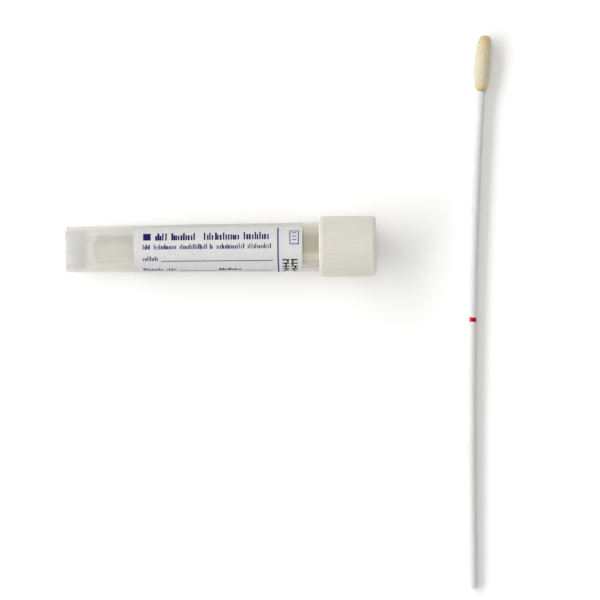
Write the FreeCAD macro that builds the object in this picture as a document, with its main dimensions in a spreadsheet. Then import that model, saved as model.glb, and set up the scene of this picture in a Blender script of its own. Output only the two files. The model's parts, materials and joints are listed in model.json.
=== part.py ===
import FreeCAD, Part
import Sketcher

import math
import os

# Specimen swab tube: a screw-capped transport tube lying on its side, with its swab beside it.
#
# Millimetres. +Z is up from the surface that the set lies on, +X runs along the tube towards its cap, and +Y
# along the swab towards its flocked tip. The origin is on that surface, below the middle of the set's box.

doc = FreeCAD.newDocument("SpecimenSwabTube")

X_AXIS = FreeCAD.Vector(1, 0, 0)
Y_AXIS = FreeCAD.Vector(0, 1, 0)
Z_AXIS = FreeCAD.Vector(0, 0, 1)

SIZES = {
    # tube, measured along its axis from the foot
    "tubeLength": 83.6,
    "footDiameter": 12.6,
    "footBand": 6.8,
    "footRounding": 0.6,
    "shoulderDiameter": 13.4,
    "neckDiameter": 12.9,
    "neckLength": 13.0,
    "mouthDiameter": 11.3,
    "mouthDepth": 4.5,
    "rimRounding": 0.25,
    "wallThickness": 1.05,
    "skirtWall": 1.0,
    "coneTipHeight": 1.7,
    "coneTipDiameter": 2.0,
    "coneRootHeight": 5.7,
    "floorHeight": 3.0,
    "floorDiameter": 1.6,
    "boreStart": 7.6,
    # thread on the neck, whose lowest turn starts below the rim by threadDrop
    "threadPitch": 3.0,
    "threadTurns": 2.0,
    "threadDrop": 10.2,
    "threadDepth": 0.45,
    "threadRoot": 1.3,
    "threadCrest": 0.6,
    # cap, measured from its open edge
    "capLength": 15.4,
    "capTop": 1.3,
    "threadClearance": 0.3,
    "lipDiameter": 16.7,
    "lipHeight": 1.35,
    "lipRounding": 0.3,
    "gripDiameter": 16.5,
    "gripEnd": 13.5,
    "crownDiameter": 16.6,
    "crownTopDiameter": 16.2,
    "crownRounding": 0.9,
    "ribCount": 72,
    "ribHeight": 0.07,
    "ribWidth": 0.4,
    "plugLength": 2.6,
    "plugWall": 0.9,
    "plugClearance": 0.06,
    "socketLength": 5.0,
    "socketWall": 0.9,
    "socketLead": 0.15,
    "socketGrip": 0.05,
    # label
    "labelStart": 18.5,
    "labelLength": 46.1,
    "labelThickness": 0.12,
    "labelWrap": 300,
    "labelTopEdge": 54,
    "labelClearance": 0.02,
    # transport liquid
    "liquidHeight": 2.65,
    "liquidEnd": 54.0,
    "liquidClearance": 0.02,
    # swab
    "shaftDiameter": 2.4,
    "upperLength": 62.7,
    "lowerLength": 58.6,
    "handleLength": 15.0,
    "upperBend": 1250,
    "lowerBend": 2500,
    "notchDiameter": 1.9,
    "notchFloor": 0.8,
    "notchWidth": 1.3,
    "shaftChamfer": 0.15,
    "coreDiameter": 1.5,
    "coreLength": 13.6,
    "coreClearance": 0.02,
    "tipLength": 15.3,
    "tipBaseEdge": 0.15,
    "tipShoulderDiameter": 3.9,
    "tipShoulderHeight": 2.9,
    "tipBellyDiameter": 4.7,
    "tipBellyHeight": 8.0,
    "tipCrownDiameter": 3.9,
    "tipCrownHeight": 13.4,
    "tipTopDiameter": 1.8,
    # where the two lie
    "tubeTurn": 0.65,
    "swabTurn": -0.69,
    "swabReach": 111.4,
    "swabOffset": -19.2,
}


def make_sheet():
    sheet = doc.addObject("Spreadsheet::Sheet", "Sizes")
    for row, (alias, number) in enumerate(SIZES.items(), start=1):
        sheet.set(f"A{row}", alias)
        sheet.set(f"B{row}", str(number))
        sheet.setAlias(f"B{row}", alias)
    doc.recompute()
    return sheet


sheet = make_sheet()


def size(alias):
    return float(sheet.get(alias))


# ---- helpers for bodies ----


def new_body(name):
    body = doc.addObject("PartDesign::Body", name)
    body.Label = name
    return body


def new_sketch(body, name, role="XZ_Plane"):
    sketch = body.newObject("Sketcher::SketchObject", name)
    plane = next(p for p in body.Origin.OriginFeatures if p.Role == role)
    sketch.AttachmentSupport = [(plane, "")]
    sketch.MapMode = "FlatFace"
    return sketch


def pin(sketch, geometry, end, across, along):
    """Hold one end of a sketch line at two expressions of the sheet."""
    for kind, expression in (("DistanceX", across), ("DistanceY", along)):
        index = sketch.addConstraint(Sketcher.Constraint(kind, geometry, end, 1.0))
        sketch.setExpression(f"Constraints[{index}]", expression)


def outline(sketch, corners):
    """Draw a closed loop of lines whose corners are pairs of expressions."""
    count = len(corners)
    turn = 2 * math.pi / count
    start = [FreeCAD.Vector(math.cos(i * turn), math.sin(i * turn), 0) for i in range(count)]
    for i in range(count):
        sketch.addGeometry(Part.LineSegment(start[i], start[(i + 1) % count]))
    for i in range(count):
        sketch.addConstraint(Sketcher.Constraint("Coincident", i, 2, (i + 1) % count, 1))
    for i, (across, along) in enumerate(corners):
        pin(sketch, i, 1, across, along)


def revolve(body, name, corners, angle="360"):
    sketch = new_sketch(body, name + "_section")
    outline(sketch, corners)
    feature = body.newObject("PartDesign::Revolution", name)
    feature.Profile = sketch
    feature.ReferenceAxis = (sketch, ["V_Axis"])
    feature.Midplane = True
    feature.setExpression("Angle", angle)
    doc.recompute()
    return feature


def rings(shape, diameter, height):
    """Names of the circular edges of one diameter at one height on the axis."""
    found = []
    for index, edge in enumerate(shape.Edges, start=1):
        curve = edge.Curve
        if not isinstance(curve, Part.Circle):
            continue
        if abs(curve.Radius - diameter / 2) < 1e-4 and abs(curve.Center.z - height) < 1e-4:
            found.append(f"Edge{index}")
    return found


def round_rings(body, name, feature, places, radius):
    edges = [edge for place in places for edge in rings(feature.Shape, *place)]
    fillet = body.newObject("PartDesign::Fillet", name)
    fillet.Base = (feature, edges)
    fillet.setExpression("Radius", radius)
    doc.recompute()
    return fillet


# ---- tube: one moulding with a skirt, a cone floor and a threaded neck ----

SHOULDER = "(Sizes.tubeLength - Sizes.neckLength)"


def make_tube():
    body = new_body("tube")
    wall = revolve(body, "wall", [
        ("Sizes.footDiameter / 2", "0"),
        ("Sizes.footDiameter / 2", "Sizes.footBand"),
        ("Sizes.shoulderDiameter / 2", SHOULDER),
        ("Sizes.neckDiameter / 2", SHOULDER + " + (Sizes.shoulderDiameter - Sizes.neckDiameter) / 2"),
        ("Sizes.neckDiameter / 2", "Sizes.tubeLength"),
        ("Sizes.mouthDiameter / 2", "Sizes.tubeLength"),
        ("Sizes.mouthDiameter / 2", "Sizes.tubeLength - Sizes.mouthDepth"),
        ("Sizes.footDiameter / 2 - Sizes.wallThickness", "Sizes.boreStart"),
        ("Sizes.floorDiameter / 2", "Sizes.floorHeight"),
        ("0", "Sizes.floorHeight"),
        ("0", "Sizes.coneTipHeight"),
        ("Sizes.coneTipDiameter / 2", "Sizes.coneTipHeight"),
        ("Sizes.footDiameter / 2 - Sizes.skirtWall", "Sizes.coneRootHeight"),
        ("Sizes.footDiameter / 2 - Sizes.skirtWall", "0"),
    ])
    foot = round_rings(body, "foot_rounding", wall, [(size("footDiameter"), 0)], "Sizes.footRounding")
    rim = [(size("neckDiameter"), size("tubeLength")), (size("mouthDiameter"), size("tubeLength"))]
    round_rings(body, "rim_rounding", foot, rim, "Sizes.rimRounding")

    ridge = new_sketch(body, "thread_section")
    sunk = "Sizes.neckDiameter / 2 - Sizes.threadDepth / 2"
    crest = "Sizes.neckDiameter / 2 + Sizes.threadDepth"
    start = "Sizes.tubeLength - Sizes.threadDrop"
    outline(ridge, [
        (sunk, start + " - Sizes.threadRoot / 2"),
        (crest, start + " - Sizes.threadCrest / 2"),
        (crest, start + " + Sizes.threadCrest / 2"),
        (sunk, start + " + Sizes.threadRoot / 2"),
    ])
    thread = body.newObject("PartDesign::AdditiveHelix", "thread")
    thread.Profile = ridge
    thread.ReferenceAxis = (ridge, ["V_Axis"])
    thread.Mode = "pitch-turns-angle"
    thread.setExpression("Pitch", "Sizes.threadPitch")
    thread.setExpression("Turns", "Sizes.threadTurns")
    thread.Angle = 0
    doc.recompute()
    return body


# ---- cap: one moulding with a lip, fine grip ribs, a plug seal and a socket that takes the swab ----


def make_cap():
    body = new_body("cap")
    depth = "Sizes.capLength - Sizes.capTop"
    bore = "Sizes.neckDiameter / 2 + Sizes.threadDepth + Sizes.threadClearance"
    plug = "Sizes.mouthDiameter / 2 - Sizes.plugClearance"
    socket = "Sizes.shaftDiameter / 2 + Sizes.socketLead"
    shell = revolve(body, "shell", [
        (bore, "0"),
        ("Sizes.lipDiameter / 2", "0"),
        ("Sizes.lipDiameter / 2", "Sizes.lipHeight"),
        ("Sizes.gripDiameter / 2", "Sizes.lipHeight + (Sizes.lipDiameter - Sizes.gripDiameter) / 2"),
        ("Sizes.gripDiameter / 2", "Sizes.gripEnd"),
        ("Sizes.crownDiameter / 2", "Sizes.gripEnd + (Sizes.crownDiameter - Sizes.gripDiameter) / 2"),
        ("Sizes.crownTopDiameter / 2", "Sizes.capLength"),
        ("0", "Sizes.capLength"),
        ("0", depth),
        ("Sizes.shaftDiameter / 2 - Sizes.socketGrip", depth),
        (socket, depth + " - Sizes.socketLength"),
        (socket + " + Sizes.socketWall", depth + " - Sizes.socketLength"),
        (socket + " + Sizes.socketWall", depth),
        (plug + " - Sizes.plugWall", depth),
        (plug + " - Sizes.plugWall", depth + " - Sizes.plugLength"),
        (plug, depth + " - Sizes.plugLength"),
        (plug, depth),
        (bore, depth),
    ])
    bore_diameter = size("neckDiameter") + 2 * (size("threadDepth") + size("threadClearance"))
    lip = [(size("lipDiameter"), 0), (bore_diameter, 0)]
    lipped = round_rings(body, "lip_rounding", shell, lip, "Sizes.lipRounding")
    crown = [(size("crownTopDiameter"), size("capLength"))]
    round_rings(body, "crown_rounding", lipped, crown, "Sizes.crownRounding")

    section = new_sketch(body, "rib_section", "XY_Plane")
    section.setExpression("AttachmentOffset.Base.z", "Sizes.lipHeight")
    root = "Sizes.gripDiameter / 2 - Sizes.ribHeight"
    crest = "Sizes.gripDiameter / 2 + Sizes.ribHeight"
    outline(section, [
        (root, "-Sizes.ribWidth / 2"),
        (crest, "-Sizes.ribWidth / 4"),
        (crest, "Sizes.ribWidth / 4"),
        (root, "Sizes.ribWidth / 2"),
    ])
    rib = body.newObject("PartDesign::Pad", "rib")
    rib.Profile = section
    rib.setExpression("Length", "Sizes.gripEnd - Sizes.lipHeight")
    doc.recompute()
    ribs = body.newObject("PartDesign::PolarPattern", "ribs")
    ribs.Originals = [rib]
    ribs.Axis = (section, ["N_Axis"])
    ribs.Angle = 360
    ribs.setExpression("Occurrences", "Sizes.ribCount")
    body.Tip = ribs
    doc.recompute()
    return body


# ---- label: one printed film, wrapped most of the way round the tube ----


def wall_radius(height):
    """Expression for the tube's outer radius at a height on its drafted wall."""
    share = f"(({height}) - Sizes.footBand) / ({SHOULDER} - Sizes.footBand)"
    return f"(Sizes.footDiameter + (Sizes.shoulderDiameter - Sizes.footDiameter) * {share}) / 2"


def make_label():
    body = new_body("label")
    bottom = "Sizes.labelStart"
    top = "Sizes.labelStart + Sizes.labelLength"
    film = " + Sizes.labelClearance + Sizes.labelThickness"
    revolve(body, "film", [
        (wall_radius(bottom) + " + Sizes.labelClearance", bottom),
        (wall_radius(bottom) + film, bottom),
        (wall_radius(top) + film, top),
        (wall_radius(top) + " + Sizes.labelClearance", top),
    ], "Sizes.labelWrap")
    return body


# ---- transport liquid: a shallow level pool along the low side of the bore ----


def bore_radius(height):
    """Expression for the bore's radius at a height on its drafted wall."""
    share = f"(({height}) - Sizes.boreStart) / (Sizes.tubeLength - Sizes.mouthDepth - Sizes.boreStart)"
    bottom = "(Sizes.footDiameter / 2 - Sizes.wallThickness)"
    return f"{bottom} + (Sizes.mouthDiameter / 2 - {bottom}) * {share}"


def make_liquid(tilt):
    body = new_body("transport_liquid")
    gap = " - Sizes.liquidClearance"
    revolve(body, "bore_filling", [
        ("0", "Sizes.floorHeight + Sizes.liquidClearance"),
        ("Sizes.floorDiameter / 2" + gap, "Sizes.floorHeight + Sizes.liquidClearance"),
        ("Sizes.footDiameter / 2 - Sizes.wallThickness" + gap, "Sizes.boreStart"),
        (bore_radius("Sizes.liquidEnd") + gap, "Sizes.liquidEnd"),
        ("0", "Sizes.liquidEnd"),
    ])
    # the surface is level, so it leans by the tube's tilt across the bore; +X in this frame is the low side
    air = new_sketch(body, "air_above")
    level = f"(Sizes.footDiameter / 2 * cos({tilt}) - Sizes.liquidHeight) / cos({tilt})"
    rise = f"Sizes.tubeLength * tan({tilt})"
    outline(air, [
        (level, "0"),
        (f"{level} + {rise}", "Sizes.tubeLength"),
        ("-Sizes.footDiameter", "Sizes.tubeLength"),
        ("-Sizes.footDiameter", "0"),
    ])
    cut = body.newObject("PartDesign::Pocket", "air")
    cut.Profile = air
    cut.Midplane = True
    cut.setExpression("Length", "2 * Sizes.footDiameter")
    doc.recompute()
    return body


# ---- swab shaft: one bowed moulding, measured from the breaking notch ----


def bowed_rod(body, name, bend, length, reverse):
    """A length of the shaft swept along an arc that starts at the notch."""
    sketch = new_sketch(body, name + "_section")
    sketch.addGeometry(Part.Circle(FreeCAD.Vector(), Z_AXIS, size("shaftDiameter") / 2))
    sketch.addConstraint(Sketcher.Constraint("Coincident", 0, 3, -1, 1))
    across = sketch.addConstraint(Sketcher.Constraint("Diameter", 0, size("shaftDiameter")))
    sketch.setExpression(f"Constraints[{across}]", "Sizes.shaftDiameter")
    sketch.addGeometry(Part.LineSegment(FreeCAD.Vector(1, -1, 0), FreeCAD.Vector(1, 1, 0)), True)
    pin(sketch, 1, 1, bend, "-Sizes.shaftDiameter")
    pin(sketch, 1, 2, bend, "Sizes.shaftDiameter")
    rod = body.newObject("PartDesign::Revolution", name)
    rod.Profile = sketch
    rod.ReferenceAxis = (sketch, ["Axis0"])
    rod.Reversed = reverse
    rod.setExpression("Angle", f"{length} / ({bend}) * 180 / pi")
    doc.recompute()
    return rod


def end_face(shape, sign):
    """Name of the flat face furthest along the shaft, towards the tip (+1) or the handle (-1)."""
    flat = [i for i, face in enumerate(shape.Faces, start=1) if isinstance(face.Surface, Part.Plane)]
    return f"Face{max(flat, key=lambda i: sign * shape.Faces[i - 1].CenterOfMass.y)}"


def straight_end(body, name, rod, sign, diameter, length):
    """A straight run of the shaft that carries on from one end of its arcs."""
    face = end_face(rod.Shape, sign)
    section = body.newObject("Sketcher::SketchObject", name + "_section")
    section.AttachmentSupport = [(rod, face)]
    section.MapMode = "FlatFace"
    doc.recompute()
    middle = section.Placement.inverse().multVec(rod.Shape.getElement(face).CenterOfMass)
    section.addGeometry(Part.Circle(middle, Z_AXIS, size(diameter) / 2))
    across = section.addConstraint(Sketcher.Constraint("Diameter", 0, size(diameter)))
    section.setExpression(f"Constraints[{across}]", "Sizes." + diameter)
    run = body.newObject("PartDesign::Pad", name)
    run.Profile = section
    run.setExpression("Length", "Sizes." + length)
    doc.recompute()
    return run


def make_shaft():
    body = new_body("swab_shaft")
    bowed_rod(body, "grip", "Sizes.lowerBend", "Sizes.lowerLength", False)
    rod = bowed_rod(body, "stem", "Sizes.upperBend", "Sizes.upperLength", True)
    cored = straight_end(body, "core", rod, 1, "coreDiameter", "coreLength")
    straight_end(body, "handle", cored, -1, "shaftDiameter", "handleLength")

    notch_section = new_sketch(body, "notch_section", "XY_Plane")
    # the sides slope from the floor's edges through the full width at the shaft's surface, and on past it
    steps = "(2 * Sizes.shaftDiameter - Sizes.notchDiameter) / (Sizes.shaftDiameter - Sizes.notchDiameter)"
    reach = f"Sizes.notchFloor / 2 + (Sizes.notchWidth - Sizes.notchFloor) / 2 * {steps}"
    outline(notch_section, [
        ("Sizes.notchDiameter / 2", "-Sizes.notchFloor / 2"),
        ("Sizes.shaftDiameter", f"-({reach})"),
        ("Sizes.shaftDiameter", reach),
        ("Sizes.notchDiameter / 2", "Sizes.notchFloor / 2"),
    ])
    notch = body.newObject("PartDesign::Groove", "notch")
    notch.Profile = notch_section
    notch.ReferenceAxis = (notch_section, ["V_Axis"])
    notch.Angle = 360
    doc.recompute()

    bevel = body.newObject("PartDesign::Chamfer", "handle_bevel")
    bevel.Base = (notch, [end_face(notch.Shape, -1)])
    bevel.setExpression("Size", "Sizes.shaftChamfer")
    doc.recompute()
    return body


def stem_end():
    """Where the stem meets the flocked tip, and the turn of the shaft there, in the shaft's own frame."""
    turn = size("upperLength") / size("upperBend")
    across = size("upperBend") * (1 - math.cos(turn))
    along = size("upperBend") * math.sin(turn)
    return FreeCAD.Placement(
        FreeCAD.Vector(across, along, 0),
        FreeCAD.Rotation(Z_AXIS, -math.degrees(turn)),
    )


# ---- flocked tip: a soft coat of fibres round the core, a body of revolution about the stem's end ----


def tip_point(diameter, height):
    return FreeCAD.Vector(size(diameter) / 2, size(height), 0)


def make_tip():
    base = FreeCAD.Vector(size("shaftDiameter") / 2 + size("tipBaseEdge"), 0, 0)
    shoulder = tip_point("tipShoulderDiameter", "tipShoulderHeight")
    belly = tip_point("tipBellyDiameter", "tipBellyHeight")
    crown = tip_point("tipCrownDiameter", "tipCrownHeight")
    top = tip_point("tipTopDiameter", "tipLength")
    lower = Part.BSplineCurve()
    lower.interpolate(Points=[base, shoulder, belly], InitialTangent=X_AXIS + Y_AXIS, FinalTangent=Y_AXIS)
    upper = Part.BSplineCurve()
    upper.interpolate(Points=[belly, crown, top], InitialTangent=Y_AXIS, FinalTangent=-X_AXIS)
    hole = size("coreDiameter") / 2 + size("coreClearance")
    depth = size("coreLength") + size("coreClearance")
    inside = Part.makePolygon([
        top,
        FreeCAD.Vector(0, size("tipLength"), 0),
        FreeCAD.Vector(0, depth, 0),
        FreeCAD.Vector(hole, depth, 0),
        FreeCAD.Vector(hole, 0, 0),
        base,
    ])
    section = Part.Face(Part.Wire([lower.toShape(), upper.toShape()] + inside.Edges))
    tip = doc.addObject("Part::Feature", "flocked_tip")
    tip.Label = "flocked_tip"
    tip.Shape = section.revolve(FreeCAD.Vector(), Y_AXIS, 360)
    return tip


# ---- where the pieces lie ----


def tube_tilt():
    """Lean of the tube's axis in degrees, lying on the rounded edges of its foot and of the cap's lip."""
    foot = (size("footRounding"), size("footDiameter") / 2 - size("footRounding"))
    edge = size("tubeLength") - (size("capLength") - size("capTop"))
    lip = (edge + size("lipRounding"), size("lipDiameter") / 2 - size("lipRounding"))
    along = lip[0] - foot[0]
    across = lip[1] - foot[1]
    more = size("lipRounding") - size("footRounding")
    return math.degrees(math.atan2(across, along) + math.asin(more / math.hypot(along, across)))


def swab_tilt():
    """Lean of the swab in degrees, lying on the handle's end and on the belly of the flocked tip."""
    drop = (size("tipBellyDiameter") - size("shaftDiameter")) / 2
    runs = ("handleLength", "lowerLength", "upperLength", "tipBellyHeight")
    return math.degrees(math.atan2(drop, sum(size(run) for run in runs)))


def turn_about(axis, angle):
    return FreeCAD.Placement(FreeCAD.Vector(), FreeCAD.Rotation(axis, angle))


def along_tube(height):
    return FreeCAD.Placement(FreeCAD.Vector(0, 0, height), FreeCAD.Rotation())


tilt = tube_tilt()
tube = make_tube()
cap = make_cap()
label = make_label()
liquid = make_liquid(f"{tilt} deg")
shaft = make_shaft()
tip = make_tip()

lying_tube = turn_about(Z_AXIS, size("tubeTurn")) * turn_about(Y_AXIS, 90 - tilt)
cap_seat = size("tubeLength") - (size("capLength") - size("capTop"))
label_turn = 180 - size("labelTopEdge") + size("labelWrap") / 2
tube.Placement = lying_tube
cap.Placement = lying_tube * along_tube(cap_seat)
label.Placement = lying_tube * turn_about(Z_AXIS, label_turn)
liquid.Placement = lying_tube

lying_swab = turn_about(Z_AXIS, size("swabTurn")) * turn_about(X_AXIS, swab_tilt())
shaft.Placement = lying_swab
tip.Placement = lying_swab * stem_end()
doc.recompute()


def box_of(pieces):
    box = FreeCAD.BoundBox()
    for piece in pieces:
        box.add(piece.Shape.optimalBoundingBox(False))
    return box


def move(pieces, offset):
    for piece in pieces:
        piece.Placement = FreeCAD.Placement(offset, FreeCAD.Rotation()) * piece.Placement


tube_pieces = [tube, cap, label, liquid]
swab_pieces = [shaft, tip]
pieces = tube_pieces + swab_pieces
move(swab_pieces, FreeCAD.Vector(size("swabReach"), size("swabOffset"), 0))
move(tube_pieces, FreeCAD.Vector(0, 0, -box_of([tube, cap]).ZMin))
move(swab_pieces, FreeCAD.Vector(0, 0, -box_of(swab_pieces).ZMin))
whole = box_of(pieces)
move(pieces, FreeCAD.Vector(-whole.Center.x, -whole.Center.y, 0))
doc.recompute()


# ---- check and write ----


def check(objects):
    for item in objects:
        if "Invalid" in item.State or "Error" in item.State:
            raise RuntimeError(f"{item.Name} is {item.State}")
    for piece in pieces:
        if piece.Shape.isNull() or not piece.Shape.isValid():
            raise RuntimeError(f"{piece.Label} has no valid shape")
        if len(piece.Shape.Solids) != 1:
            raise RuntimeError(f"{piece.Label} has {len(piece.Shape.Solids)} solids")


check(doc.Objects)
os.makedirs("parts", exist_ok=True)
for piece in pieces:
    piece.Shape.exportStep(f"parts/{piece.Label}.step")
    box = piece.Shape.optimalBoundingBox(False)
    print(piece.Label, "volume", round(piece.Shape.Volume, 1), "lowest", round(box.ZMin, 3))
print("tube tilt", round(tilt, 4), "swab tilt", round(swab_tilt(), 4))
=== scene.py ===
"""Specimen swab tube: finishes, print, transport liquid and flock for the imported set, in metres."""

import json
import math
import random

import bmesh
import bpy
from mathutils import Matrix, Vector


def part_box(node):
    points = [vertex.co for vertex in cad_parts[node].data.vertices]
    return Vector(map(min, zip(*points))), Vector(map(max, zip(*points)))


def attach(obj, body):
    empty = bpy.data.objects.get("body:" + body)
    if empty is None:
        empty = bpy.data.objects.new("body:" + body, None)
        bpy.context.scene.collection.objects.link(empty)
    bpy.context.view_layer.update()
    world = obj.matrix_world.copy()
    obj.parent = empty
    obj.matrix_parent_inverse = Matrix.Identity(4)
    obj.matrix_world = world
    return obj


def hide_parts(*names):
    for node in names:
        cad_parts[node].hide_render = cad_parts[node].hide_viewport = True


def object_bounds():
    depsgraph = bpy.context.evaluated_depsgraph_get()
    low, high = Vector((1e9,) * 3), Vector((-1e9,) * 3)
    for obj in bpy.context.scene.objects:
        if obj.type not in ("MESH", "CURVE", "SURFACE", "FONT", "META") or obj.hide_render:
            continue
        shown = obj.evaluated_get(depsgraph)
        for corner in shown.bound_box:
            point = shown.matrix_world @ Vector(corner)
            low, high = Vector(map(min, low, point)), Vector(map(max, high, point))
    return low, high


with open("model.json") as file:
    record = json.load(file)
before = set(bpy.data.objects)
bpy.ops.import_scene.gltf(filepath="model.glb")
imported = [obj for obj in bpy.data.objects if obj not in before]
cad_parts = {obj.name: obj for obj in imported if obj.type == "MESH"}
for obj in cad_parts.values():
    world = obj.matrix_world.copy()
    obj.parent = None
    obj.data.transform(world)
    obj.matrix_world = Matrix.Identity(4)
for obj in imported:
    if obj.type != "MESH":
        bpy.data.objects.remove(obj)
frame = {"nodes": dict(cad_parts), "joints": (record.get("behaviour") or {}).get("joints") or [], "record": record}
cad_low, cad_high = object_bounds()

MM = 0.001

# ---- places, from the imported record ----

mounts = {mount["name"]: mount for mount in frame["record"]["mounts"]}
TUBE_AXIS = Vector(frame["joints"][0]["axis"]).normalized()
foot_point = Vector(mounts["foot_ring"]["pos_m"])
foot_band = Vector(mounts["rack_foot"]["pos_m"])
FOOT = foot_band + TUBE_AXIS * (foot_point - foot_band).dot(TUBE_AXIS)
TUBE_BACK = Vector((-TUBE_AXIS.y, TUBE_AXIS.x, 0)).normalized()
TUBE_LOW = TUBE_BACK.cross(TUBE_AXIS)
TUBE_FRAME = Matrix((TUBE_LOW, TUBE_BACK, TUBE_AXIS)).transposed().to_4x4()
TUBE_FRAME.translation = FOOT


def middle(node, start, end):
    """Middle of a node's corners between two heights along Y."""
    corners = [v.co for v in frame["nodes"][node].data.vertices if start <= v.co.y <= end]
    return sum(corners, Vector()) / len(corners)


END_SLICE = 0.15 * MM
tip_low, tip_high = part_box("flocked_tip")
TIP_BASE = middle("flocked_tip", tip_low.y, tip_low.y + END_SLICE)
TIP_TOP = middle("flocked_tip", tip_high.y - END_SLICE, tip_high.y)
TIP_AXIS = (TIP_TOP - TIP_BASE).normalized()
TIP_LENGTH = (TIP_TOP - TIP_BASE).length / MM

NOTCH_FROM_HANDLE = 73.6 * MM
NOTCH_SLICE = 0.8 * MM
notch_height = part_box("swab_shaft")[0].y + NOTCH_FROM_HANDLE
NOTCH = middle("swab_shaft", notch_height - NOTCH_SLICE, notch_height + NOTCH_SLICE)
SHAFT_AXIS = (TIP_BASE - NOTCH).normalized()

POOL_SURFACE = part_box("transport_liquid")[1].z

# ---- sizes of the set, in millimetres along the tube from its foot unless said ----

LABEL_START = 18.8
LABEL_LENGTH = 46.1
LABEL_WRAP = math.radians(300)
LABEL_TOP_EDGE = math.radians(120.5)
LABEL_TURN = LABEL_TOP_EDGE + LABEL_WRAP / 2 + math.pi / 2
LABEL_GAP = 0.02
LABEL_THICKNESS = 0.12
FOOT_BAND_END = 6.8
FOOT_RADIUS = 6.3
SHOULDER_START = 70.6
SHOULDER_RADIUS = 6.7
THREAD_START = 73.4
THREAD_PITCH = 3.0


def wall_radius(along):
    """Radius of the drafted wall at a distance from the foot."""
    share = (along - FOOT_BAND_END) / (SHOULDER_START - FOOT_BAND_END)
    return FOOT_RADIUS + (SHOULDER_RADIUS - FOOT_RADIUS) * share


# ---- shaders ----


class Wire:
    """A shader socket that sums, scales and compares like a number."""

    def __init__(self, finish, socket):
        self.finish = finish
        self.socket = socket

    def maths(self, operation, *values):
        sockets = dict(enumerate(values))
        return self.finish.node("ShaderNodeMath", {"operation": operation}, sockets)

    def __add__(self, other):
        return self.maths("ADD", self, other)

    __radd__ = __add__

    def __sub__(self, other):
        return self.maths("SUBTRACT", self, other)

    def __rsub__(self, other):
        return self.maths("SUBTRACT", other, self)

    def __mul__(self, other):
        return self.maths("MULTIPLY", self, other)

    __rmul__ = __mul__

    def __truediv__(self, other):
        return self.maths("DIVIDE", self, other)

    def __rtruediv__(self, other):
        return self.maths("DIVIDE", other, self)


class Finish:
    """One material, or the world, built node by node."""

    def __init__(self, name, family=bpy.data.materials):
        self.owner = family.new(name)
        self.owner.use_nodes = True
        self.tree = self.owner.node_tree
        self.tree.nodes.clear()

    def node(self, kind, settings=None, sockets=None, output=0):
        """Add a node: its settings first, then the values or links of its sockets."""
        made = self.tree.nodes.new(kind)
        for name, value in (settings or {}).items():
            if name == "stops":
                ramp = made.color_ramp.elements
                while len(ramp) < len(value):
                    ramp.new(0.5)
                for stop, (place, colour) in zip(ramp, value):
                    stop.position = place
                    stop.color = (*colour, 1)
            else:
                setattr(made, name, value)
        for key, value in (sockets or {}).items():
            if isinstance(value, Wire):
                self.tree.links.new(value.socket, made.inputs[key])
            else:
                made.inputs[key].default_value = value
        return Wire(self, made.outputs[output])

    def place(self):
        """Each point's own place, in metres."""
        return self.node("ShaderNodeTexCoord", output="Object")

    def along(self, start, direction):
        """Millimetres from a point in one direction."""
        offset = self.node("ShaderNodeVectorMath", {"operation": "SUBTRACT"},
                           {0: self.place(), 1: tuple(start)})
        return self.node("ShaderNodeVectorMath", {"operation": "DOT_PRODUCT"},
                         {0: offset, 1: tuple(direction / MM)}, "Value")

    def size_of(self, value):
        """A value without its sign."""
        return self.node("ShaderNodeMath", {"operation": "ABSOLUTE"}, {0: value})

    def rise(self, value, low, high):
        """0 below low, 1 above high, smooth between."""
        return self.node("ShaderNodeMapRange", {"interpolation_type": "SMOOTHSTEP"},
                         {"Value": value, "From Min": low, "From Max": high})

    def band(self, value, start, full, fade, end):
        """1 between full and fade, 0 before start and after end."""
        return self.rise(value, start, full) * (1 - self.rise(value, fade, end))

    def blend(self, share, first, second):
        """From one colour to another."""
        return self.node("ShaderNodeMix", {"data_type": "RGBA"}, {0: share, 6: first, 7: second}, 2)

    def noise(self, grain, detail=2.0, stretch=(1, 1, 1), **more):
        """Noise whose grain is a size in millimetres, drawn out along one axis or another."""
        scale = tuple(1 / (grain * MM * part) for part in stretch)
        place = self.node("ShaderNodeMapping", None, {"Vector": self.place(), "Scale": scale})
        sockets = {"Vector": place, "Scale": 1.0, "Detail": detail}
        sockets.update(more)
        return self.node("ShaderNodeTexNoise", None, sockets)

    def bump(self, height, depth, strength=1.0):
        """A normal raised by a height of 0 to 1 times a depth in millimetres."""
        return self.node("ShaderNodeBump", None,
                         {"Height": height, "Distance": depth * MM, "Strength": strength})

    def surface(self, shader, output="ShaderNodeOutputMaterial"):
        """Link the finished shader to its output."""
        end = self.tree.nodes.new(output)
        self.tree.links.new(shader.socket, end.inputs["Surface"])
        return self.owner

    def plastic(self, **sockets):
        """The general shader; its sockets are named with _ for a space."""
        named = {key.replace("_", " "): value for key, value in sockets.items()}
        return self.node("ShaderNodeBsdfPrincipled", None, named)


def rgb(red, green, blue):
    """A colour as a screen shows it, 0 to 255, made linear."""
    def linear(value):
        value /= 255
        return value / 12.92 if value <= 0.04045 else ((value + 0.055) / 1.055) ** 2.4
    return (linear(red), linear(green), linear(blue), 1)


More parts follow.
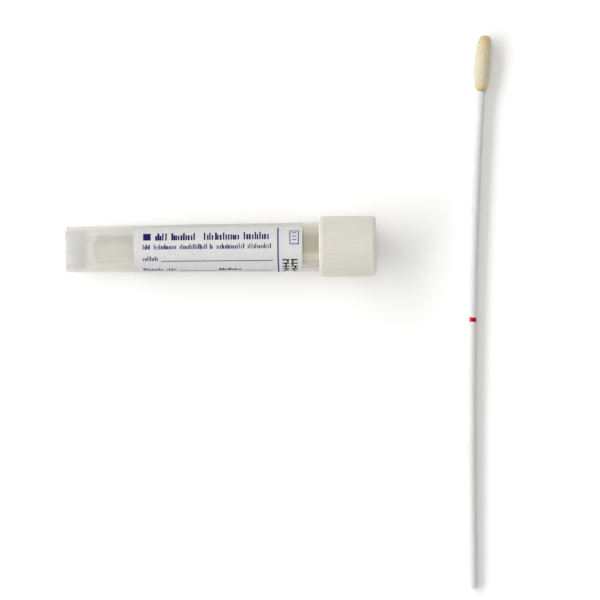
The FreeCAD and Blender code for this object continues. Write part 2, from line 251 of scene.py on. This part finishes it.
def tube_finish():
    """Clear plastic gone cloudy: denser at its flanks and foot, with a painted highlight at the web and, at the
    neck, painted light streaks and a painted shade band.
    """
    wall = Finish("clear_polypropylene")
    along = wall.along(FOOT, TUBE_AXIS)
    across = wall.along(FOOT, TUBE_BACK)
    flank = wall.rise(wall.size_of(across), 4.2, 6.4)
    cloud = wall.noise(6.0, 3.0)
    warm = wall.rise(along, 22.0, 66.0)
    foot = 1 - wall.rise(along, 5.0, 6.4)
    corner = 0.8 * wall.rise(wall.size_of(across + 0.4), 1.6, 3.2)
    # painted highlight: a whiter, denser ring where the skirt's web joins the wall, curved at its corners
    web_highlight = wall.band(along - corner, 5.4, 7.2, 7.4, 8.4)
    web_highlight = web_highlight * (1 - wall.rise(wall.size_of(across), 3.2, 4.8))
    neck = wall.rise(along, 64.6, 65.2)
    # painted light: lighter streaks along the neck, at its top and below its middle, made by more density
    light = neck * (wall.rise(across, 3.4, 4.6) + wall.band(across, -3.9, -3.2, -2.2, -1.6))
    # painted shade: a warm darker band along the middle of the neck
    shade = neck * wall.band(across, -1.8, -0.6, 2.6, 3.8)
    colour = wall.blend(warm, rgb(250, 250, 243), rgb(243, 237, 222))
    colour = wall.blend(foot, colour, rgb(222, 221, 217))
    colour = wall.blend(shade, colour, rgb(222, 213, 190))
    colour = wall.blend(flank * 0.8, colour, rgb(255, 251, 242))
    density = 0.4 + 0.1 * (cloud - 0.5) + 0.08 * web_highlight + 0.4 * flank + 0.04 * foot + 0.2 * light
    return wall.surface(wall.plastic(
        Base_Color=wall.blend(web_highlight, colour, rgb(254, 254, 250)),
        Roughness=0.29 + 0.17 * (1 - wall.rise(along, 5.0, 9.0)),
        IOR=1.42,
        Transmission_Weight=0.4,
        Alpha=density,
        Normal=wall.bump(wall.noise(2.5, 2.0), 0.01),
    ))


def cap_finish():
    """Milky plastic that lets light in a little way, with a fine eroded skin."""
    cap = Finish("milky_cap_plastic")
    cloud = cap.noise(5.0, 3.0)
    colour = cap.blend(cloud, rgb(222, 218, 207), rgb(228, 225, 214))
    return cap.surface(cap.plastic(
        Base_Color=colour,
        Roughness=0.42,
        IOR=1.49,
        Subsurface_Weight=0.8,
        Subsurface_Radius=(1.0, 0.92, 0.8),
        Subsurface_Scale=2.5 * MM,
        Normal=cap.bump(cap.noise(0.35, 4.0), 0.01),
    ))


def label_finish():
    """Matt film with a fine paper-like mottle."""
    film = Finish("label_film")
    mottle = film.rise(film.noise(0.3, 4.0), 0.36, 0.64)
    cloud = film.noise(7.0, 2.0)
    colour = film.blend(mottle, rgb(209, 208, 209), rgb(230, 229, 228))
    return film.surface(film.plastic(
        Base_Color=film.blend(cloud * 0.3, colour, rgb(212, 211, 213)),
        Roughness=0.45,
        IOR=1.5,
        Normal=film.bump(mottle, 0.02),
    ))


def liner_finish():
    """The label's yellowed adhesive, seen through the tube."""
    back = Finish("label_adhesive")
    cloud = back.noise(2.0, 3.0)
    return back.surface(back.plastic(
        Base_Color=back.blend(cloud, rgb(224, 206, 168), rgb(230, 214, 180)),
        Roughness=0.6,
    ))


def ink_finish(name, dark, light):
    """Dull ink that varies a little between two shades."""
    ink = Finish(name)
    return ink.surface(ink.plastic(
        Base_Color=ink.blend(ink.noise(0.25, 3.0), dark, light),
        Roughness=0.75,
        Specular_IOR_Level=0.15,
    ))


def liquid_finish():
    """Slightly cloudy liquid, with painted shade at its rim and towards the back."""
    liquid = Finish("transport_liquid")
    along = liquid.along(FOOT, TUBE_AXIS)
    cloud = liquid.noise(3.0, 2.0)
    warm = liquid.rise(along + 3 * cloud, 9.5, 14.0)
    height = liquid.along(Vector((0, 0, POOL_SURFACE)), Vector((0, 0, 1)))
    # painted shade: the meniscus at the rim darkened to grey
    rim = liquid.rise(height, 0.02, 0.16)
    # painted shade: greyer towards the back wall
    back = liquid.rise(liquid.along(FOOT, TUBE_BACK), 0.6, 3.0)
    colour = liquid.blend(warm, rgb(224, 226, 216), rgb(255, 249, 234))
    colour = liquid.blend(back * 0.8, colour, rgb(168, 170, 164))
    return liquid.surface(liquid.plastic(
        Base_Color=liquid.blend(rim, colour, rgb(112, 115, 108)),
        Roughness=0.06,
        IOR=1.34,
        Transmission_Weight=0.4,
    ))


def shaft_finish():
    """Satin white plastic with a red band of ink at the breaking notch, and in it a painted shade spot for the
    notch's groove.
    """
    white = Finish("white_shaft_plastic")
    along = white.along(NOTCH, SHAFT_AXIS)
    wander = 0.12 * (white.noise(0.6, 2.0) - 0.5)
    inked = white.band(along + wander, -0.66, -0.62, 0.62, 0.66)
    plain = white.blend(white.noise(8.0, 2.0), rgb(215, 215, 215), rgb(222, 222, 221))
    red = white.blend(white.noise(0.5, 2.0), rgb(198, 0, 40), rgb(218, 0, 52))
    # painted shade: a dark spot where the notch's groove lies in shade
    groove_shade_spot = NOTCH + Vector((0.32, -0.06, 1.15)) * MM
    from_groove_shade_spot = white.node("ShaderNodeVectorMath", {"operation": "DISTANCE"},
                            {0: white.place(), 1: tuple(groove_shade_spot)}, "Value")
    red = white.blend(white.rise(from_groove_shade_spot, 0.62 * MM, 0.3 * MM), red, rgb(78, 0, 6))
    return white.surface(white.plastic(
        Base_Color=white.blend(inked, plain, red),
        Roughness=0.4,
        IOR=1.49,
        Specular_IOR_Level=0.15,
        Subsurface_Weight=0.9,
        Subsurface_Radius=(1.0, 1.0, 1.0),
        Subsurface_Scale=2.0 * MM,
        Normal=white.bump(white.noise(0.5, 3.0, (1, 6, 1)), 0.01),
    ))


def flock_finish(name, lift):
    """Cream fibre, amber where it meets the shaft; the lift brightens its pale tufts."""
    flock = Finish(name)
    along = flock.along(TIP_BASE, TIP_AXIS)
    tuft = flock.noise(0.7, 4.0)
    streak = flock.noise(0.4, 3.0, (1, 5, 1))
    height = along + 0.9 * (flock.noise(1.3, 3.0) - 0.5)
    colour = flock.node("ShaderNodeValToRGB", {"stops": [
        (0.0, rgb(214, 174, 88)[:3]),
        (0.04, rgb(228, 196, 118)[:3]),
        (0.075, rgb(230, 209, 156)[:3]),
        (0.14, rgb(226, 216, 187)[:3]),
        (0.3, rgb(225, 219, 201)[:3]),
        (0.7, rgb(224, 215, 191)[:3]),
        (0.88, rgb(222, 205, 162)[:3]),
        (1.0, rgb(202, 184, 140)[:3]),
    ]}, {"Fac": height / TIP_LENGTH})
    pale = rgb(235 + lift, 228 + lift, 209 + lift)
    colour = flock.blend(flock.rise(tuft, 0.5, 0.68) * 0.55, colour, pale)
    colour = flock.blend(flock.rise(tuft, 0.48, 0.34) * 0.55, colour, rgb(210, 192, 150))
    return flock.surface(flock.plastic(
        Base_Color=flock.blend(flock.rise(streak, 0.52, 0.7) * 0.4, colour, rgb(210, 194, 156)),
        Roughness=0.9,
        Subsurface_Weight=1.0,
        Subsurface_Radius=(1.0, 0.8, 0.55),
        Subsurface_Scale=4.0 * MM,
        Sheen_Weight=0.3,
        Sheen_Roughness=0.5,
        Normal=flock.bump(tuft, 0.2),
    ))


# ---- modelling ----


def clear_selection():
    """Leave edit mode and deselect everything."""
    if bpy.context.object and bpy.context.object.mode != "OBJECT":
        bpy.ops.object.mode_set(mode="OBJECT")
    bpy.ops.object.select_all(action="DESELECT")


def start(name, add, **options):
    """Add one primitive by itself and open it for editing, all selected."""
    clear_selection()
    add(**options)
    piece = bpy.context.object
    piece.name = name
    piece.data.name = name
    bpy.ops.object.mode_set(mode="EDIT")
    bpy.ops.mesh.select_all(action="SELECT")
    return piece


def close_edit(piece, doubles=0.0005):
    """Merge doubles, recalculate which side of the faces is out, and leave edit mode."""
    bpy.ops.mesh.select_all(action="SELECT")
    bpy.ops.mesh.remove_doubles(threshold=doubles * MM)
    bpy.ops.mesh.normals_make_consistent(inside=False)
    bpy.ops.object.mode_set(mode="OBJECT")
    return piece


def modify(piece, kind, **settings):
    """Add a modifier and apply it."""
    modifier = piece.modifiers.new(kind.lower(), kind)
    for name, value in settings.items():
        setattr(modifier, name, value)
    bpy.context.view_layer.objects.active = piece
    bpy.ops.object.modifier_apply(modifier=modifier.name)
    return piece


def lay(piece, place):
    """Move a piece built about the origin to its place, and apply that to its mesh."""
    clear_selection()
    piece.select_set(True)
    bpy.context.view_layer.objects.active = piece
    piece.matrix_world = place
    bpy.ops.object.transform_apply(location=True, rotation=True, scale=True)
    return piece


def finish_piece(piece, body, slot, *materials):
    """Give a piece its materials and its body; the slot is not used."""
    piece.data.materials.clear()
    for material in materials:
        piece.data.materials.append(material)
    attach(piece, body)
    return piece


def smooth(piece, angle=40):
    """Shade smooth, but keep edges sharper than an angle in degrees."""
    clear_selection()
    piece.select_set(True)
    bpy.context.view_layer.objects.active = piece
    bpy.ops.object.shade_smooth_by_angle(angle=math.radians(angle))


def start_profile(name, profile):
    """A new piece that holds a line through (radius, height) pairs, drawn by extruding a point."""
    piece = start(name, bpy.ops.mesh.primitive_plane_add, size=MM)
    bpy.ops.mesh.merge(type="CENTER")
    points = [Vector((radius * MM, 0, height * MM)) for radius, height in profile]
    bpy.ops.transform.translate(value=points[0])
    for last, point in zip(points, points[1:]):
        bpy.ops.mesh.extrude_region_move(TRANSFORM_OT_translate={"value": point - last})
    bpy.ops.mesh.select_all(action="SELECT")
    return piece


def lathe(name, profile, steps):
    """Spin a profile of (radius, height) pairs all the way round Z.

    The spin leaves the faces in an order that can change from run to run.
    """
    piece = start_profile(name, profile)
    bpy.ops.mesh.spin(steps=steps, angle=math.tau, center=(0, 0, 0), axis=(0, 0, 1))
    return close_edit(piece)


# ---- label: a film wrapped round the tube, and its print ----

LABEL_MIDDLE = LABEL_START + LABEL_LENGTH / 2
FILM_RADIUS = wall_radius(LABEL_MIDDLE) + LABEL_GAP
FILM_TAPER = (wall_radius(LABEL_START + LABEL_LENGTH) - wall_radius(LABEL_START)) / FILM_RADIUS
FILM_ARC = FILM_RADIUS * LABEL_WRAP
FILM_COLUMNS = 240
FILM_ROWS = 24
INK_LIFT = 0.004
INK_THICKNESS = 0.012
INK_FACET = 0.3
PRINT_MARGIN = 0.64


def wrap(piece, width, length):
    """Bend a flat sheet round the tube: its X runs round, its Z along, and -Y faces out."""
    modify(piece, "SIMPLE_DEFORM", deform_method="BEND", deform_axis="Z",
           angle=width / FILM_RADIUS)
    clear_selection()
    piece.select_set(True)
    bpy.context.view_layer.objects.active = piece
    piece.location = (0, -FILM_RADIUS * MM, 0)
    bpy.ops.object.transform_apply(location=True, rotation=False, scale=False)
    modify(piece, "SIMPLE_DEFORM", deform_method="TAPER", deform_axis="Z",
           factor=FILM_TAPER * length / LABEL_LENGTH)
    return piece


def on_tube(piece, turn, along):
    """Lay a piece built about Z along the tube's axis, turned about it."""
    place = Matrix.Translation((0, 0, along * MM)) @ Matrix.Rotation(turn, 4, "Z")
    return lay(piece, TUBE_FRAME @ place)


def flat_sheet(width, length, columns, rows, place=(0, 0, 0)):
    """Add a flat grid that faces -Y, its width along X, while editing a piece; it is left selected."""
    bpy.ops.mesh.select_all(action="DESELECT")
    bpy.ops.mesh.primitive_grid_add(x_subdivisions=columns, y_subdivisions=rows, size=MM,
                                    rotation=(math.pi / 2, 0, 0), location=place)
    bpy.ops.transform.resize(value=(width, 1, length), center_override=place)


def start_sheet(name, width, length, columns, rows, place=(0, 0, 0)):
    """A new piece that holds one flat sheet, still open for editing."""
    piece = start(name, bpy.ops.mesh.primitive_plane_add, size=MM)
    bpy.ops.mesh.delete(type="VERT")
    flat_sheet(width, length, columns, rows, place)
    return piece


def label_film():
    """The printed film, with its adhesive side towards the tube."""
    film = start_sheet("label_film", FILM_ARC, LABEL_LENGTH, FILM_COLUMNS, FILM_ROWS)
    bpy.ops.object.mode_set(mode="OBJECT")
    modify(film, "SOLIDIFY", thickness=LABEL_THICKNESS * MM, offset=1)
    for face in film.data.polygons:
        face.material_index = int(face.normal.y > 0.5)
    wrap(film, FILM_ARC, LABEL_LENGTH)
    on_tube(film, LABEL_TURN, LABEL_MIDDLE)
    smooth(film)
    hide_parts("label")
    return film


def print_marks(name, marks):
    """Print marks, each (across, width, down, height) in millimetres from the film's first corner."""
    piece = None
    for across, width, down, height in marks:
        sheet = (height, width, max(1, math.ceil(height / INK_FACET)), 1, (
            (PRINT_MARGIN + down + height / 2 - FILM_ARC / 2) * MM,
            -(LABEL_THICKNESS + INK_LIFT) * MM,
            (across + width / 2 - LABEL_LENGTH / 2) * MM,
        ))
        if piece is None:
            piece = start_sheet(name, *sheet)
        else:
            flat_sheet(*sheet)
    bpy.ops.object.mode_set(mode="OBJECT")
    modify(piece, "SOLIDIFY", thickness=INK_THICKNESS * MM, offset=1)
    spans = [[corner.co[axis] / MM for corner in piece.data.vertices] for axis in (0, 2)]
    width, length = (max(span) - min(span) for span in spans)
    wrap(piece, width, length)
    return on_tube(piece, LABEL_TURN, LABEL_MIDDLE)


def strokes(dice, across, width, down, height, thick, pitch):
    """A word of plain upright strokes of uneven height."""
    marks = []
    place = across
    while place + thick < across + width:
        tall = dice.random() < 0.3
        part = 1.0 if tall else dice.uniform(0.62, 0.72)
        stroke = thick * dice.choice((1, 1, 1.3))
        marks.append((place, stroke, down + height * (1 - part), height * part))
        place += pitch * dice.choice((0.85, 1, 1, 1.25))
    return marks


def frame_marks(across, width, down, height, thick):
    """The four sides of an outlined box."""
    return [
        (across, width, down, thick),
        (across, width, down + height - thick, thick),
        (across, thick, down + thick, height - 2 * thick),
        (across + width - thick, thick, down + thick, height - 2 * thick),
    ]


# Marks are placed from the film's first corner: across is along the tube, down is round it.
BOLD = {"height": 2.2, "thick": 0.42, "pitch": 0.7}
FINE = {"height": 1.35, "thick": 0.26, "pitch": 0.46}
FIELD = {"height": 1.36, "thick": 0.26, "pitch": 0.46}
SMALL = {"height": 0.95, "thick": 0.16, "pitch": 0.36}
RULE = 0.26
FIRST_FIELD = 9.75
FIELD_PITCH = 4.1
LEFT_MARGIN = 2.5
FIRST_SMALL = 24.2
SMALL_PITCH = 1.6
STAMP_TOP = 9.5
STAMP_PITCH = 1.1


def label_words(dice):
    """A square mark, a bold and a fine line of strokes, the fields' names and the small print."""
    words = [(2.6, 2.1, 1.85, 2.1)]
    for across, width in ((5.9, 3.2), (10.3, 7.0), (19.2, 10.0), (30.1, 7.6)):
        words += strokes(dice, across, width, 1.8, **BOLD)
    for across, width in ((2.5, 2.3), (5.5, 6.2), (12.6, 7.7), (20.8, 1.1), (22.7, 7.9), (31.2, 6.3)):
        words += strokes(dice, across, width, 5.1, **FINE)
    fields = (
        ((LEFT_MARGIN, 4.3),),
        ((LEFT_MARGIN, 5.5), (9.0, 2.5), (23.0, 6.6)),
        ((LEFT_MARGIN, 3.1), (23.0, 4.0)),
        ((LEFT_MARGIN, 6.4),),
    )
    for row, names in enumerate(fields):
        top = FIRST_FIELD + FIELD_PITCH * row - FIELD["height"]
        for across, width in names:
            words += strokes(dice, across, width, top, **FIELD)
    for row, width in enumerate((33.0, 33.0, 33.0, 27.0)):
        words += strokes(dice, LEFT_MARGIN, width, FIRST_SMALL + SMALL_PITCH * row, **SMALL)
    return words


def label_rules():
    """The lines to write on, the upright rule, and a small box with three dashes."""
    rules = []
    for row, across, width in (
        (0, 7.4, 30.6),
        (1, 12.3, 10.2),
        (1, 30.2, 7.8),
        (2, 6.6, 15.6),
        (2, 27.8, 10.2),
        (3, 9.8, 28.2),
    ):
        rules += [(across, width, FIRST_FIELD + FIELD_PITCH * row, RULE)]
    rules += [(39.25, 0.42, 0.4, 30.6)]
    rules += frame_marks(42.6, 2.6, 1.5, 4.0, RULE)
    for down in (2.1, 3.1, 4.1):
        rules += [(43.3, 1.2, down, 0.24)]
    return rules


def label_stamp(dice):
    """Two columns of plain bars where a number would be stamped."""
    stamp = []
    for column in (40.6, 42.9):
        for row in range(5):
            down = STAMP_TOP + STAMP_PITCH * row
            stamp += [(column, 1.85, down, 0.42)]
            stamp += [(column + dice.uniform(0, 1.4), 0.45, down, 1.0)]
    return stamp


# ---- transport liquid: a level pool with a raised edge where it wets the bore ----

BORE_FLOOR = 3.0
BORE_START = 7.6
BORE_RADIUS = 5.25
MOUTH_RADIUS = 5.65
MOUTH_END = 79.1
POOL_END = 54.0
POOL_SIDES = 160
WET = 0.03
CLIMB = 0.28
RIM = ((0.12, 0.14), (0.16, 0.09), (0.25, 0.05))  # width and drop of each step, from the wall inwards


def liquid_pool():
    """Fill the bore, cut it level, and sink the middle of its surface step by step below the rim.

    The finished faces point inwards, and the look of the liquid is matched in that state.
    """
    share = (POOL_END - BORE_START) / (MOUTH_END - BORE_START)
    end_radius = BORE_RADIUS + (MOUTH_RADIUS - BORE_RADIUS) * share
    pool = lathe("liquid_pool", [
        (0, BORE_FLOOR + WET),
        (0.8 - WET, BORE_FLOOR + WET),
        (BORE_RADIUS - WET, BORE_START),
        (end_radius - WET, POOL_END),
        (0, POOL_END),
    ], POOL_SIDES)
    lay(pool, TUBE_FRAME)
    bpy.ops.object.mode_set(mode="EDIT")
    bpy.ops.mesh.select_all(action="SELECT")
    bpy.ops.mesh.bisect(plane_co=(0, 0, POOL_SURFACE + CLIMB * MM), plane_no=(0, 0, 1),
                        use_fill=True, clear_outer=True)
    for width, drop in RIM:
        select_top(pool)
        bpy.ops.mesh.inset(thickness=width * MM, depth=0)
        bpy.ops.transform.translate(value=(0, 0, -drop * MM))
    close_edit(pool)
    smooth(pool, 50)
    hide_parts("transport_liquid")
    return pool


def select_top(piece):
    """Select the flat face on top."""
    mesh = bmesh.from_edit_mesh(piece.data)
    mesh.faces.ensure_lookup_table()
    top = max(mesh.faces, key=lambda face: face.normal.z * face.calc_area())
    for face in mesh.faces:
        face.select = face == top
    bmesh.update_edit_mesh(piece.data)


# ---- flocked tip: a coat, and the fibres that stand on it ----

FIBRE_LENGTH = 0.42
FIBRE_ROOT = 0.035
FIBRE_COUNT = 14000
FIBRE_LEAN = 0.42
COAT_SIDES = 48
RING_REACH = 0.3  # corners this far outside a ring's radius still belong to it
RING_DEPTH = 0.004  # and this far above or below it


def tip_place():
    """Frame at the tip's base: its axis is Z, and its X is to the right."""
    side = TIP_AXIS.cross(Vector((0, 0, 1))).normalized()
    place = Matrix((side, TIP_AXIS.cross(side), TIP_AXIS)).transposed().to_4x4()
    place.translation = TIP_BASE
    return place


COAT_PROFILE = (  # radius, height and lean to the right, in millimetres
    (1.15, 0.12, -0.1),
    (1.34, 0.1, -0.14),
    (1.46, 0.6, -0.2),
    (1.72, 1.1, -0.26),
    (1.96, 2.1, -0.3),
    (2.12, 3.6, -0.3),
    (2.2, 5.4, -0.2),
    (2.24, 7.8, -0.02),
    (2.16, 10.4, 0.1),
    (2.0, 12.4, 0.22),
    (1.74, 13.9, 0.28),
    (1.36, 14.75, 0.26),
    (0.7, 15.18, 0.24),
    (0, 15.22, 0.22),
)


def flock_coat():
    """The body of the tip: a spun profile whose rings are then moved sideways."""
    profile = [(radius, height) for radius, height, lean in COAT_PROFILE]
    coat = lathe("flock_coat", profile, COAT_SIDES)
    bpy.ops.object.mode_set(mode="EDIT")
    for radius, height, lean in COAT_PROFILE:
        bpy.ops.mesh.select_all(action="DESELECT")
        mesh = bmesh.from_edit_mesh(coat.data)
        for corner in mesh.verts:
            level = abs(corner.co.z - height * MM) < RING_DEPTH * MM
            corner.select = level and corner.co.xy.length < (radius + RING_REACH) * MM
        mesh.select_flush_mode()
        bmesh.update_edit_mesh(coat.data)
        bpy.ops.transform.translate(value=(lean * MM, 0, 0))
    bpy.ops.object.mode_set(mode="OBJECT")
    modify(coat, "SUBSURF", levels=2, render_levels=2)
    lay(coat, tip_place())
    smooth(coat, 80)
    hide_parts("flocked_tip")
    return coat


def flock_fibres(coat):
    """A fibre modelled once and set all over the coat, its middle on the surface, leaning a little.

    A fibre is left out if its middle or its outer end would leave the set's box. The end sunk in the
    coat is not tested, and can pass the box by a few hundredths of a millimetre. The dice pick among
    the coat's faces, so the fibres change with the order of those faces.
    """
    fibre = start("fibre", bpy.ops.mesh.primitive_cone_add, vertices=3,
                  radius1=FIBRE_ROOT * MM, radius2=0, depth=MM, location=(0, 0, MM / 2))
    close_edit(fibre, 0.00001)
    shape = [corner.co.copy() for corner in fibre.data.vertices]
    sides = [tuple(face.vertices) for face in fibre.data.polygons]
    bpy.data.objects.remove(fibre)
    dice = random.Random(11)
    faces = [face for face in coat.data.polygons if len(face.vertices) == 4]
    corners, skins = [], []
    for face in dice.choices(faces, [face.area for face in faces], k=FIBRE_COUNT):
        a, b, c, d = (coat.data.vertices[i].co for i in face.vertices)
        across, up = dice.random(), dice.random()
        root = a.lerp(b, across).lerp(d.lerp(c, across), up)
        lean = Vector([dice.gauss(0, FIBRE_LEAN) for _ in range(3)])
        turn = (face.normal + lean).to_track_quat("Z", "Y").to_matrix().to_4x4()
        length = FIBRE_LENGTH * dice.uniform(0.55, 1.0)
        place = Matrix.Translation(root) @ turn @ Matrix.Diagonal((1, 1, length, 1))
        end = place @ Vector((0, 0, MM))
        furthest = Vector((max(root.x, end.x), max(root.y, end.y))) + Vector((1, 1)) * FIBRE_ROOT * MM
        if furthest.x > cad_high[0] or furthest.y > cad_high[1] or end.z < 0:
            continue
        count = len(corners)
        corners += [place @ corner for corner in shape]
        skins += [[count + index for index in side] for side in sides]
    made = bpy.data.meshes.new("flock_fibres")
    made.from_pydata(corners, [], skins)
    fibres = bpy.data.objects.new("flock_fibres", made)
    bpy.context.scene.collection.objects.link(fibres)
    return fibres


# ---- cap: the thread inside it ----

THREAD_TURNS = 1.75
THREAD_FIRST_TURN = -240  # degrees
THREAD_STEPS = 140
THREAD_PROFILE = ((7.26, -0.65), (6.62, -0.28), (6.62, 0.28), (7.26, 0.65))


def cap_thread():
    """The ridge inside the cap, half a pitch off the neck's own."""
    ridge = start_profile("cap_thread", THREAD_PROFILE)
    bpy.ops.mesh.edge_face_add()
    bpy.ops.mesh.delete(type="ONLY_FACE")
    bpy.ops.object.mode_set(mode="OBJECT")
    modify(ridge, "SCREW", axis="Z", angle=math.tau * THREAD_TURNS,
           screw_offset=THREAD_PITCH * THREAD_TURNS * MM, steps=THREAD_STEPS,
           render_steps=THREAD_STEPS, iterations=1, use_normal_calculate=True)
    bpy.ops.object.mode_set(mode="EDIT")
    bpy.ops.mesh.select_all(action="SELECT")
    bpy.ops.mesh.fill_holes(sides=6)
    close_edit(ridge)
    rise = THREAD_PITCH * THREAD_FIRST_TURN / 360
    on_tube(ridge, math.radians(THREAD_FIRST_TURN), THREAD_START + THREAD_PITCH / 2 + rise)
    smooth(ridge, 35)
    return ridge


# ---- the set ----

nodes = frame["nodes"]
for node, material in (
    ("tube", tube_finish()),
    ("cap", cap_finish()),
    ("swab_shaft", shaft_finish()),
):
    nodes[node].data.materials[0] = material

finish_piece(label_film(), "tube_and_swab", "label_film", label_finish(), liner_finish())
indigo = ink_finish("indigo_ink", rgb(24, 12, 80), rgb(38, 24, 96))
pale_indigo = ink_finish("rule_ink", rgb(70, 62, 126), rgb(88, 80, 142))
black = ink_finish("stamp_ink", rgb(8, 7, 10), rgb(18, 16, 20))
dice = random.Random(7)
for name, marks, ink in (
    ("label_words", label_words(dice), indigo),
    ("label_rules", label_rules(), pale_indigo),
    ("label_stamp", label_stamp(dice), black),
):
    finish_piece(print_marks(name, marks), "tube_and_swab", "label_film", ink)
finish_piece(liquid_pool(), "tube_and_swab", "transport_liquid", liquid_finish())
coat = flock_coat()
fibres = flock_fibres(coat)
finish_piece(coat, "tube_and_swab", "flock_fibre", flock_finish("flock_ground", -8))
finish_piece(fibres, "tube_and_swab", "flock_fibre", flock_finish("flock_fibre", 0))
finish_piece(cap_thread(), "screw_cap", "milky_cap_plastic", nodes["cap"].data.materials[0])

# ---- floor, light and camera ----

FLOOR_SIZE = 6.0
FLOOR_DROP = 0.02 * MM
FLOOR_GREY = 0.94
FLOOR_GLOW = 0.15
WHITE = 1.0
FILL = 0.165
ROOM_TINT = (1.0, 0.985, 0.92, 1)
LAMP_DISTANCE = 3.0
LAMPS = {
    "side_box": {"level": 0.76, "height": 38, "turn": 12.5, "long": 6.0, "short": 1.2},
    "top_box": {"level": 0.32, "height": 84, "turn": 50, "long": 3.0, "short": 3.0},
    "front_card": {"level": 0.065, "height": 20, "turn": -90, "long": 4.0, "short": 1.6},
    "right_card": {"level": 0.04, "height": 15, "turn": 180, "long": 4.0, "short": 1.0},
}
VIEW_MIDDLE = (5.83 * MM, 3.2 * MM)
VIEW_WIDTH = 0.1644
VIEW_HEIGHT = 4.0
SENSOR = 36


def seen_directly(finish):
    """1 for rays that show a surface as it is: to the camera, a mirror image or through glass."""
    rays = finish.node("ShaderNodeLightPath", None, None, "Is Camera Ray")
    glossy = Wire(finish, rays.socket.node.outputs["Is Glossy Ray"])
    through = Wire(finish, rays.socket.node.outputs["Is Transmission Ray"])
    shown = rays.maths("MAXIMUM", rays, glossy)
    return shown.maths("MAXIMUM", shown, through)


def white_floor():
    """A matt floor that keeps shadows, with a little glow where it is seen directly."""
    floor = start("floor", bpy.ops.mesh.primitive_plane_add, size=FLOOR_SIZE,
                  location=(0, 0, -FLOOR_DROP))
    bpy.ops.object.mode_set(mode="OBJECT")
    bpy.ops.object.transform_apply(location=True, rotation=True, scale=True)
    sheet = Finish("floor_white")
    grey = (FLOOR_GREY, FLOOR_GREY, FLOOR_GREY, 1)
    diffuse = sheet.node("ShaderNodeBsdfDiffuse", None, {"Color": grey})
    glow = sheet.node("ShaderNodeEmission", None,
                      {"Color": (1, 1, 1, 1), "Strength": seen_directly(sheet) * FLOOR_GLOW})
    both = sheet.node("ShaderNodeAddShader", None, {0: diffuse, 1: glow})
    floor.data.materials.append(sheet.surface(both))


def soft_world():
    """A dim, slightly warm room that looks white where it is seen directly."""
    room = Finish("soft_room", bpy.data.worlds)
    shown = seen_directly(room)
    colour = room.blend(shown, ROOM_TINT, (1, 1, 1, 1))
    strength = FILL + (WHITE - FILL) * shown
    sky = room.node("ShaderNodeBackground", None, {"Color": colour, "Strength": strength})
    bpy.context.scene.world = room.surface(sky, "ShaderNodeOutputWorld")


def soft_box(name, level, height, turn, long, short):
    """A soft box aimed at the set, at about that level on a white floor.

    Its height is in degrees above the floor, and its turn is from the left towards the back.
    """
    height, turn = math.radians(height), math.radians(turn)
    flat = math.cos(height)
    toward = Vector((-flat * math.cos(turn), flat * math.sin(turn), math.sin(height)))
    lamp = bpy.data.lights.new(name, "AREA")
    lamp.shape = "RECTANGLE"
    lamp.size = long
    lamp.size_y = short
    lamp.energy = level * (math.pi * LAMP_DISTANCE) ** 2 / toward.z
    box = bpy.data.objects.new(name, lamp)
    bpy.context.scene.collection.objects.link(box)
    box.location = toward * LAMP_DISTANCE
    across = Vector((toward.y, -toward.x, 0)).normalized()
    box.rotation_euler = Matrix((across, toward.cross(across), toward)).transposed().to_euler()


def overhead_camera():
    """A camera far overhead, looking straight down, with a long lens."""
    data = bpy.data.cameras.new("overhead")
    camera = bpy.data.objects.new("overhead", data)
    bpy.context.scene.collection.objects.link(camera)
    data.sensor_width = SENSOR
    data.lens = SENSOR * VIEW_HEIGHT / VIEW_WIDTH
    data.clip_end = 5 * VIEW_HEIGHT
    camera.location = (*VIEW_MIDDLE, VIEW_HEIGHT)
    bpy.context.scene.camera = camera


overhead_camera()
white_floor()
soft_world()
for name, settings in LAMPS.items():
    soft_box(name, **settings)
bpy.context.scene.view_settings.view_transform = "Standard"
